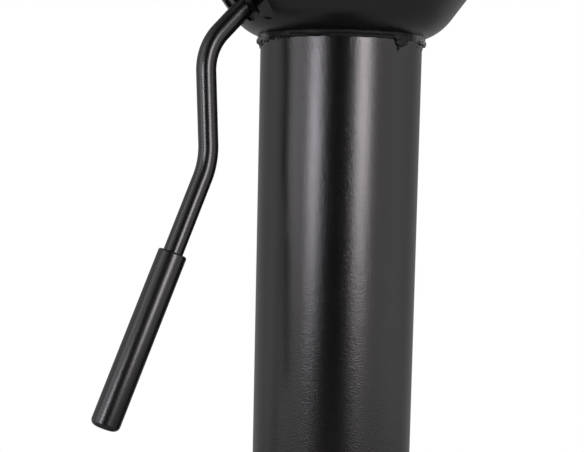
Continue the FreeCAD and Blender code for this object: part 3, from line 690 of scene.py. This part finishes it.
RING_SWEEP = 330                        # degrees of a ring's round section that its points span
RING_STEPS = 11                         # the closing side is the twelfth
RING_SEGMENTS = 360
SWELL_SIZE = 4.0 * MM
SWELL_SHARE = 1.4                       # of the grain's relief
GRAIN_SIZE = 1.0 * MM


def make_bead(name, rings, lumps, base, roughness, voxel):
    """A hand-laid bead round the column: rings and lumps, run together and roughened.

    A ring is its reach outside the column, its height above the base and its thickness;
    a lump is its azimuth, reach, height and radii along, out of and up the joint. All in millimetres.
    """
    parts = []
    for number, (out, rise, thickness) in enumerate(rings):
        centre = (TUBE_RADIUS + out * MM, base + rise * MM)
        section = arc(centre, thickness * MM, 0, RING_SWEEP, RING_STEPS)
        parts.append(turned(name + "_ring_" + str(number), section, RING_SEGMENTS))
    for azimuth, out, rise, radii in lumps:
        sizes = [size * MM for size in radii]
        parts.append(add_lump(azimuth, TUBE_RADIUS + out * MM, base + rise * MM, sizes))
    bead = join(parts, name)
    modify(bead, "REMESH", mode="VOXEL", voxel_size=voxel)
    coarse = cloud_texture(name + "_swell", SWELL_SIZE, 1)
    fine = cloud_texture(name + "_grain", GRAIN_SIZE, 2)
    swell = roughness * SWELL_SHARE
    modify(bead, "DISPLACE", texture=coarse, texture_coords="LOCAL", strength=swell, mid_level=0.5)
    modify(bead, "DISPLACE", texture=fine, texture_coords="LOCAL", strength=roughness, mid_level=0.5)
    pick(bead)
    bpy.ops.object.shade_smooth()
    return bead


BOWL_BEAD_VOXEL = 0.34 * MM
BOWL_BEAD_RELIEF = 0.45 * MM
FOOT_BEAD_VOXEL = 0.5 * MM
FOOT_BEAD_RELIEF = 0.8 * MM
BOWL_BEAD_RINGS = ((0.2, 2.1, 1.7), (-0.2, -0.1, 1.0))
BOWL_BEAD_LUMPS = (
    (-77, 0.4, 0.2, (7.0, 1.9, 3.4)),
    (-78, 0.3, -2.8, (4.2, 1.6, 2.8)),
    (-80, 0.2, -5.6, (0.9, 0.8, 2.0)),
    (-56, 0.5, 0.9, (3.4, 1.7, 1.5)),
    (-50, 0.7, 0.3, (3.6, 1.9, 1.9)),
    (-44, 0.8, -0.4, (3.0, 2.0, 2.2)),
    (-37, 0.8, -0.9, (2.8, 1.8, 2.1)),
    (-164, 0.5, 0.9, (6.0, 1.7, 2.0)),
    (-180, 0.7, 0.8, (5.0, 1.9, 2.3)),
    (-197, 0.8, 0.1, (5.0, 1.8, 1.9)),
    (-206, 0.9, -0.6, (3.0, 1.8, 2.1)),
    (-140, 0.2, 1.4, (7.0, 1.8, 1.8)),
    (20, 0.4, 0.4, (6.0, 2.0, 2.7)),
    (75, 0.2, 0.8, (7.0, 1.9, 2.4)),
    (128, 0.4, 0.3, (6.0, 2.0, 2.9)),
)
SPATTER_SPOTS = (
    # azimuth, height and size in millimetres
    (-80.3, -8.6, 0.5), (-72, -3.4, 0.7), (-43, -5.0, 0.6), (-53, -5.6, 0.5),
    (-200, -2.4, 0.8), (-204, -3.6, 0.8), (-208, -2.6, 0.9), (-196, -3.2, 0.6), (-210, -4.4, 0.7),
    (-190, -1.8, 0.7), (-184, -2.2, 0.6), (-176, -1.4, 0.7), (-170, -2.0, 0.5), (-160, -1.2, 0.6),
    (12, -4.4, 0.6), (60, -3.9, 0.6), (99, -5.0, 0.5), (140, -4.1, 0.6),
)
FOOT_BEAD_RINGS = ((0.9, 1.0, 3.6), (2.6, 0.2, 2.4))
FOOT_BEAD_LUMPS = (
    (-120, 1.4, 1.2, (8.0, 3.2, 3.6)),
    (-60, 1.2, 1.3, (9.0, 3.0, 3.8)),
    (5, 1.5, 1.1, (7.0, 3.3, 3.4)),
    (70, 1.1, 1.4, (9.0, 3.0, 3.8)),
    (140, 1.4, 1.2, (8.0, 3.2, 3.5)),
)
SPATTER_SPREAD = 1.4                    # millimetres up and down
SPATTER_TURN = 2.4                      # radians from one spot's height to the next's
SPATTER_SIZE = 0.42                     # the smallest, in millimetres
SPATTER_STEP = 0.16                     # to the next of three sizes


def ragged_edge(start, stop, count, height):
    """Small spatter along the lower edge of a ragged end; heights and sizes in millimetres."""
    spots = []
    for number in range(count):
        azimuth = start + (stop - start) * number / (count - 1)
        rise = height + SPATTER_SPREAD * math.sin(SPATTER_TURN * number)
        spots.append((azimuth, rise, SPATTER_SIZE + SPATTER_STEP * (number % 3)))
    return tuple(spots)


def make_welds():
    spatter = []
    right_end, left_end = RAGGED_AND_GLINT_ENDS
    ends = ragged_edge(start=right_end - 15, stop=right_end + 15, count=17, height=-2.2)
    ends += ragged_edge(start=left_end + 10, stop=left_end - 10, count=14, height=-2.0)
    for azimuth, rise, size in SPATTER_SPOTS + ends:
        spatter.append((azimuth, size / 4, rise, (size, size, size)))
    lumps = BOWL_BEAD_LUMPS + tuple(spatter)
    bowl_bead = make_bead(
        "bowl_bead", BOWL_BEAD_RINGS, lumps, COLUMN_TOP, BOWL_BEAD_RELIEF, BOWL_BEAD_VOXEL)
    finish_piece(bowl_bead, "weld_coat", "powder_coat", "torch", "bowl_weld")
    foot_bead = make_bead(
        "foot_bead", FOOT_BEAD_RINGS, FOOT_BEAD_LUMPS, FLANGE_TOP, FOOT_BEAD_RELIEF, FOOT_BEAD_VOXEL)
    finish_piece(foot_bead, "weld_coat", "powder_coat", "torch", "foot_weld")


# ---------------------------------------------------------------- burner and wick
NEARLY_UPRIGHT = 0.1                    # greatest rise of an upright face's normal
NEARLY_LEVEL = 0.9                      # least rise of a level face's normal


def pick_faces(piece, wanted):
    """Go into edit mode with only the wanted faces selected."""
    edit(piece, "FACE")
    bpy.ops.mesh.select_all(action="DESELECT")
    leave()
    for face in piece.data.polygons:
        face.select = wanted(face)
    edit(piece, "FACE")


def step_round(place, count):
    """The number of the step round the column's axis that a place is in."""
    return int((math.atan2(place.y, place.x) / (2 * math.pi) % 1.0) * count)


CAP_SKIRT = 15.3 * MM                   # bore of the burner cap's skirt
CAP_HOLE = 7.5 * MM                     # hole for the wick tube
CAP_ROOF = 3.0 * MM
CAP_EDGE = 0.4 * MM
CAP_SHOULDER = 1.2 * MM
CAP_SEGMENTS = 144
RIB_DEPTH = 0.5 * MM
RIB_TAPER = 0.12 * MM


def make_burner_cap():
    """The burner's screw cap, with ribs round its skirt."""
    low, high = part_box("burner_cap")
    outer = high.x
    profile = [
        (CAP_SKIRT, low.z),
        (outer - CAP_EDGE, low.z),
        (outer, low.z + CAP_EDGE),
        (outer, low.z + CAP_SHOULDER),
        (outer, high.z - 2 * CAP_SHOULDER),
        (outer, high.z - CAP_SHOULDER),
        (outer - CAP_SHOULDER, high.z),
        (CAP_HOLE + CAP_EDGE, high.z),
        (CAP_HOLE, high.z - CAP_EDGE),
        (CAP_HOLE, high.z - CAP_ROOF),
        (CAP_SKIRT, high.z - CAP_ROOF),
    ]
    cap = turned("ribbed_cap", profile, CAP_SEGMENTS)
    ribbed = (low.z + CAP_SHOULDER, high.z - 2 * CAP_SHOULDER)

    def is_groove(face):
        upright = abs(face.normal.z) < NEARLY_UPRIGHT and face.center.xy.length > outer - CAP_EDGE
        inside = ribbed[0] < face.center.z < ribbed[1]
        return upright and inside and step_round(face.center, CAP_SEGMENTS) % 2 == 0

    pick_faces(cap, is_groove)
    bpy.ops.mesh.inset(thickness=RIB_TAPER, depth=-RIB_DEPTH, use_individual=True)
    leave()
    smooth(cap, degrees=30)
    finish_piece(cap, "burner_brass", "burner_brass", "torch", "burner_cap")


WICK_SEGMENTS = 40
WICK_RADIUS = 5.95 * MM
BRAID_PITCH = 0.9 * MM
BRAID_LENGTH = 14.0 * MM                # braided in detail below the wick's top
BRAID_RELIEF = 0.3 * MM
BRAID_GAP = 0.1 * MM
WICK_EDGE = 0.7 * MM
CORE = 1.0 * MM                         # radius of the flat middle of a turned end


def make_wick():
    """The braided wick: strands that pass over two and under two."""
    low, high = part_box("wick")
    braid_start = high.z - BRAID_LENGTH
    rows = int(BRAID_LENGTH / BRAID_PITCH)
    profile = [(CORE, low.z), (WICK_RADIUS, low.z)]
    profile += [(WICK_RADIUS, braid_start + row * BRAID_PITCH) for row in range(rows)]
    profile += [(WICK_RADIUS - WICK_EDGE, high.z - BRAID_RELIEF), (CORE, high.z - BRAID_RELIEF)]
    wick = turned("braided_wick", profile, WICK_SEGMENTS, closed=False)

    def is_raised(face):
        if face.center.z < braid_start or abs(face.normal.z) > NEARLY_LEVEL:
            return False
        row = int((face.center.z - braid_start) / BRAID_PITCH)
        return (step_round(face.center, WICK_SEGMENTS) + row) % 4 < 2

    pick_faces(wick, is_raised)
    bpy.ops.mesh.inset(thickness=BRAID_GAP, depth=BRAID_RELIEF, use_individual=False)
    leave()
    modify(wick, "SUBSURF", levels=1, render_levels=1)
    smooth(wick, degrees=60)
    finish_piece(wick, "wick_fibre", "wick_fibre", "torch", "wick")


# ---------------------------------------------------------------- bolts
BOLT_FLATS = 17.0 * MM
BOLT_SHANK_RADIUS = 5.0 * MM
BOLT_HEAD_HEIGHT = 6.4 * MM
BOLT_CHAMFER = 1.0 * MM
BOLT_EDGE = 0.4 * MM
BOLT_BEVEL = 0.15 * MM
BOLT_COUNT = 6
HEAD_SIDES = 6
BLANK_SEGMENTS = 64
SHANK_SEGMENTS = 48


def make_bolts():
    """Hexagon bolts with chamfered heads: one is modelled, and the others are copies."""
    low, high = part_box("flange_bolt_1")
    half_side = math.pi / HEAD_SIDES        # angle from a flat's middle to its corner
    corner = BOLT_FLATS / 2 / math.cos(half_side)
    middle = high.z - BOLT_HEAD_HEIGHT / 2
    bpy.ops.object.select_all(action="DESELECT")
    bpy.ops.mesh.primitive_cylinder_add(
        vertices=HEAD_SIDES, radius=corner, depth=BOLT_HEAD_HEIGHT,
        location=(0, 0, middle), rotation=(0, 0, half_side))
    head = bpy.context.active_object
    settle(head)
    under = high.z - BOLT_HEAD_HEIGHT
    profile = [
        (CORE, low.z),
        (BOLT_SHANK_RADIUS - BOLT_EDGE, low.z),
        (BOLT_SHANK_RADIUS, low.z + BOLT_EDGE),
        (BOLT_SHANK_RADIUS, under - BOLT_EDGE),
        (corner, under - BOLT_EDGE / 2),
        (corner, high.z - BOLT_CHAMFER),
        (BOLT_FLATS / 2 - BOLT_CHAMFER / 2, high.z),
        (CORE, high.z),
    ]
    blank = turned("bolt_blank", profile, BLANK_SEGMENTS, closed=False)
    modify(head, "BOOLEAN", operation="INTERSECT", solver="EXACT", object=blank)
    bpy.data.objects.remove(blank)
    shank = turned("bolt_shank", profile[:4] + [(CORE, under)], SHANK_SEGMENTS, closed=False)
    bolt = join([head, shank], "hex_bolt_1")
    sharp = math.radians(30)
    modify(bolt, "BEVEL", width=BOLT_BEVEL, segments=2, limit_method="ANGLE", angle_limit=sharp)
    smooth(bolt, degrees=30)
    for number in range(1, BOLT_COUNT + 1):
        spot = centre_of("flange_bolt_" + str(number))
        copy = bolt.copy()
        copy.data = bolt.data.copy()
        copy.name = "hex_bolt_" + str(number)
        bpy.context.scene.collection.objects.link(copy)
        copy.location = (spot.x, spot.y, 0)
        settle(copy)
        finish_piece(copy, "zinc_steel", "zinc_steel", "torch", "flange_bolt_" + str(number))
    bpy.data.objects.remove(bolt)


# ---------------------------------------------------------------- snuffer cup
CUP_RADIUS = 14.5 * MM
CUP_WALL = 1.5 * MM
CUP_HEIGHT = 30.0 * MM
CUP_CORNER = 2.5 * MM
CUP_HOLE = 3.2 * MM                     # radius of the hole for the stud
CUP_SEGMENTS = 96
CUP_OUTER_STEPS = 10
CUP_INNER_STEPS = 8
CUP_MOUTH_BELOW_PIVOT = 6.8 * MM
SNUFFER_SWING = 60.0                    # degrees from shut to open


def make_snuffer_cup():
    """A drawn cup with a rounded shoulder and an eased mouth, made shut and then swung open."""
    mouth = PIVOT.z - CUP_MOUTH_BELOW_PIVOT
    roof = mouth + CUP_HEIGHT
    lip = CUP_WALL / 3
    inner = CUP_RADIUS - CUP_WALL
    centre = (CUP_RADIUS - CUP_CORNER, roof - CUP_CORNER)
    outer_corner = arc(centre, CUP_CORNER, 0, 90, CUP_OUTER_STEPS)
    inner_corner = arc(centre, CUP_CORNER - CUP_WALL, 90, 0, CUP_INNER_STEPS)
    profile = [(inner + lip, mouth), (CUP_RADIUS - lip, mouth), (CUP_RADIUS, mouth + lip)]
    profile += outer_corner
    profile += [(CUP_HOLE, roof), (CUP_HOLE, roof - CUP_WALL)]
    profile += inner_corner
    profile.append((inner, mouth + lip))
    cup = turned("snuffer_cup", profile, CUP_SEGMENTS)
    swing = turn(-SNUFFER_SWING, "Y")
    cup.matrix_world = Matrix.Translation(PIVOT) @ swing @ Matrix.Translation(-PIVOT)
    settle(cup)
    smooth(cup, degrees=30)
    finish_piece(cup, "powder_coat", "powder_coat", "snuffer_lever", "snuffer_cap")


# ---------------------------------------------------------------- lever
ROD_RADIUS = 6.0 * MM
ROD_SEGMENTS = 48
ROD_START = 6.05 * MM                   # from the pivot, in the hub's socket
RUN_ONE = 66.7 * MM                     # from the pivot to the first bend's corner
RUN_TWO = 66.9 * MM
RUN_THREE = 167.0 * MM
SLOPE_ONE = 46.0                        # degrees below level
LEAN_TWO = 2.8                          # degrees from upright, towards the column
FLARE_THREE = 22.6                      # degrees from upright, away from the column
BEND_ONE = 32.0 * MM
BEND_TWO = 48.0 * MM
GRIP_RADIUS = 8.75 * MM
GRIP_LENGTH = 109.0 * MM
GRIP_END_WALL = 4.95 * MM
BEND_STEPS = 20


def aimed(degrees_from_down):
    """Unit vector in the lever's plane; positive angles lean away from the column."""
    angle = math.radians(degrees_from_down)
    return Vector((-math.sin(angle), 0, -math.cos(angle)))


RUNS = (aimed(90 - SLOPE_ONE), aimed(-LEAN_TWO), aimed(FLARE_THREE))
CORNER_ONE = PIVOT + RUNS[0] * RUN_ONE
CORNER_TWO = CORNER_ONE + RUNS[1] * RUN_TWO
LEVER_END = CORNER_TWO + RUNS[2] * RUN_THREE
LEVER_AXIS = Vector((0, 1, 0))


def bend_ring(corner, before, after, radius):
    """Carry the selected ring round a bend by spinning it about the bend's centre."""
    turn_angle = before.angle(after)
    start = corner - before * radius * math.tan(turn_angle / 2)
    side = LEVER_AXIS.cross(before)
    if side.dot(after) < 0:
        side = -side
    axis = side.cross(before)
    bpy.ops.mesh.spin(steps=BEND_STEPS, angle=turn_angle, center=start + side * radius, axis=axis)
    return corner + after * radius * math.tan(turn_angle / 2)


def make_lever_bar():
    """The bent round bar, from the hub's socket to the closed end of the grip."""
    bpy.ops.object.select_all(action="DESELECT")
    bpy.ops.mesh.primitive_circle_add(vertices=ROD_SEGMENTS, radius=ROD_RADIUS)
    bar = bpy.context.active_object
    start = PIVOT + RUNS[0] * ROD_START
    bar.matrix_world = Matrix.Translation(start) @ RUNS[0].to_track_quat("Z", "Y").to_matrix().to_4x4()
    settle(bar)
    edit(bar)
    bpy.ops.mesh.select_all(action="SELECT")
    bends = ((CORNER_ONE, BEND_ONE), (CORNER_TWO, BEND_TWO))
    place = start
    for number, (corner, radius) in enumerate(bends):
        before, after = RUNS[number], RUNS[number + 1]
        reach = corner - before * radius * math.tan(before.angle(after) / 2) - place
        bpy.ops.mesh.extrude_edges_move(TRANSFORM_OT_translate={"value": reach})
        place = bend_ring(corner, before, after, radius)
    last = LEVER_END - RUNS[2] * GRIP_END_WALL - place
    bpy.ops.mesh.extrude_edges_move(TRANSFORM_OT_translate={"value": last})
    bpy.ops.mesh.select_all(action="SELECT")
    bpy.ops.mesh.fill_holes(sides=ROD_SEGMENTS)
    leave()
    bar.name = "lever_bar"
    face_out(bar)
    smooth(bar)
    finish_piece(bar, "lever_coat", "powder_coat", "snuffer_lever", "lever_rod")


GRIP_END_RADIUS = 3.6 * MM
GRIP_DOME = 0.12 * MM                   # set-back of the closed end's rounding from its middle
GRIP_DOME_START = 0.05 * MM             # set-back where the middle ends
GRIP_DOME_WIDTH = 1.2 * MM              # from there to the rounding
GRIP_GAP = 0.05 * MM                    # between the sleeve's bore and the bar
GRIP_SEGMENTS = 72
GRIP_END_START = -84                    # degrees at which the end's rounding starts
GRIP_END_STEPS = 10
GRIP_TOP_STEPS = 8
GRIP_TOP_RADIUS = 1.3 * MM
GRIP_MOUTH_CHAMFER = 0.5 * MM


def make_grip():
    """The moulded sleeve: rounded mouth, slightly domed closed end."""
    bore = ROD_RADIUS + GRIP_GAP
    end = GRIP_END_RADIUS
    top = GRIP_TOP_RADIUS
    profile = [(CORE, 0.0), (GRIP_RADIUS - end - GRIP_DOME_WIDTH, GRIP_DOME_START)]
    profile += arc((GRIP_RADIUS - end, end + GRIP_DOME), end, GRIP_END_START, 0, GRIP_END_STEPS)
    profile += arc((GRIP_RADIUS - top, GRIP_LENGTH - top), top, 0, 90, GRIP_TOP_STEPS)
    profile += [
        (bore + GRIP_MOUTH_CHAMFER, GRIP_LENGTH),
        (bore, GRIP_LENGTH - GRIP_MOUTH_CHAMFER),
        (bore, GRIP_END_WALL),
        (CORE, GRIP_END_WALL),
    ]
    grip = turned("grip", profile, GRIP_SEGMENTS, closed=False)
    aim = (-RUNS[2]).to_track_quat("Z", "Y").to_matrix().to_4x4()
    grip.matrix_world = Matrix.Translation(LEVER_END) @ aim
    settle(grip)
    smooth(grip, degrees=30)
    finish_piece(grip, "grip_plastic", "grip_plastic", "snuffer_lever", "grip_sleeve")


# ---------------------------------------------------------------- light and floor
SOFTBOX_DISTANCE = 2.0
WHITE = (1.0, 1.0, 1.0, 1.0)


def make_softbox(name, heading, width, low, high, power, tint):
    """A tall panel that faces the column; its heading is in degrees to the right of the camera."""
    data = bpy.data.lights.new(name, "AREA")
    data.shape = "RECTANGLE"
    data.size = width
    data.size_y = high - low
    data.energy = power
    data.color = tint
    light = bpy.data.objects.new(name, data)
    bpy.context.scene.collection.objects.link(light)
    away = Matrix.Rotation(math.radians(heading), 3, "Z") @ FRONT
    place = away * SOFTBOX_DISTANCE + Vector((0, 0, (low + high) / 2))
    light.matrix_world = Matrix.Translation(place) @ away.to_track_quat("Z", "Y").to_matrix().to_4x4()


def make_lights():
    make_softbox(
        "left_softbox", heading=-33.5, width=0.44, low=0.69, high=1.28, power=12.0,
        tint=(0.94, 0.96, 1.0))
    make_softbox(
        "right_softbox", heading=32.5, width=0.56, low=0.68, high=1.70, power=23.4,
        tint=(1.0, 0.99, 0.975))
    make_softbox(
        "left_panel", heading=-63, width=0.85, low=0.60, high=2.40, power=6.5,
        tint=(0.97, 0.98, 1.0))


def grey(value):
    return (value, value, value)


ROOM_TONES = (
    # cosine of the angle from the camera's side of the room, and brightness there
    (-1.0, 0.30), (-0.52, 0.45), (-0.20, 0.85), (0.10, 1.15),
    (0.72, 1.15), (0.86, 0.90), (0.93, 0.18), (0.96, 0.02),
)
BRIGHTEST = 2.0                         # the ramp's values end at 1, so they are shares of this
GAP_MIDDLE = 0.02                       # facing of the dark gap at the left
GAP_HALF_WIDTH = (0.03, 0.08)           # where its edge starts and ends
GAP_SIDE = (0.985, 0.996)
GAP_DEPTH = 0.75
CEILING_RISE = (0.6, 0.9)
CEILING_DEPTH = 0.55
LEAST_LEVEL = 0.001                     # keeps straight up and down from dividing by zero


def make_world():
    """A pale room: bright sides, a dark opening behind the camera, white to the camera itself."""
    world = bpy.data.worlds.new("studio")
    bpy.context.scene.world = world
    world.use_nodes = True
    world.node_tree.nodes.clear()
    room = Finish(world.node_tree)
    way = room.node("ShaderNodeTexCoord").outputs["Generated"]
    x, y, z = room.split(way)
    level = (x * x + y * y).root() + LEAST_LEVEL
    facing = (x * FRONT.x + y * FRONT.y) / level
    side = (x * RIGHT.x + y * RIGHT.y) / level
    stops = [((cosine + 1) / 2, grey(tone / BRIGHTEST)) for cosine, tone in ROOM_TONES]
    ramp = room.channel("ShaderNodeValToRGB", {"stops": stops}, facing * 0.5 + 0.5)
    in_gap = 1 - (facing - GAP_MIDDLE).size().step(*GAP_HALF_WIDTH)
    gap = (side * -1.0).step(*GAP_SIDE) * in_gap
    ceiling = 1 - CEILING_DEPTH * z.step(*CEILING_RISE)
    strength = ramp * BRIGHTEST * (1 - GAP_DEPTH * gap) * ceiling
    lit = room.node("ShaderNodeBackground", None, Color=WHITE, Strength=strength)
    plain = room.node("ShaderNodeBackground", None, Color=WHITE, Strength=1.0)
    seen = room.node("ShaderNodeLightPath").outputs["Is Camera Ray"]
    mix = room.node("ShaderNodeMixShader", None, seen, lit.outputs[0], plain.outputs[0])
    room.node("ShaderNodeOutputWorld", None, mix.outputs[0])


FLOOR_RADIUS = 2.3
FLOOR_SEGMENTS = 96
FLOOR_CLOUD_SIZE = 0.12
FADE_START = 0.7                        # radius where the floor starts to fade
FADE_END = 2.1


def make_floor():
    """A pale disc that fades into the white surroundings."""
    bpy.ops.object.select_all(action="DESELECT")
    bpy.ops.mesh.primitive_circle_add(vertices=FLOOR_SEGMENTS, radius=FLOOR_RADIUS, fill_type="NGON")
    floor = bpy.context.active_object
    floor.name = "studio_floor"
    finish = Material("studio_floor")
    radius = round_place(finish)[0]
    cloud = finish.noise(finish.place, FLOOR_CLOUD_SIZE, detail=3.0)
    tone = finish.blend(cloud, colour(0.42, 0.42, 0.42), colour(0.46, 0.46, 0.46))
    finish.set(Base_Color=tone, Roughness=0.8)
    glow = finish.node("ShaderNodeEmission", None, Color=WHITE, Strength=1.0)
    fade = radius.step(FADE_START, FADE_END)
    by_camera = finish.channel("ShaderNodeLightPath")
    soft = fade * fade * (3 - 2 * fade) * by_camera
    mix = finish.node("ShaderNodeMixShader", None, soft, finish.shader.outputs[0], glow.outputs[0])
    finish.fill(finish.tree.nodes["Material Output"].inputs["Surface"], mix.outputs[0])
    floor.data.materials.append(finish.material)


# ---------------------------------------------------------------- build
make_camera()
finish_frame()
make_column()
make_bowl()
make_welds()
make_burner_cap()
make_wick()
make_bolts()
make_lever_bar()
make_grip()
make_snuffer_cup()
make_lights()
make_world()
make_floor()
bpy.context.scene.view_settings.view_transform = "Standard"
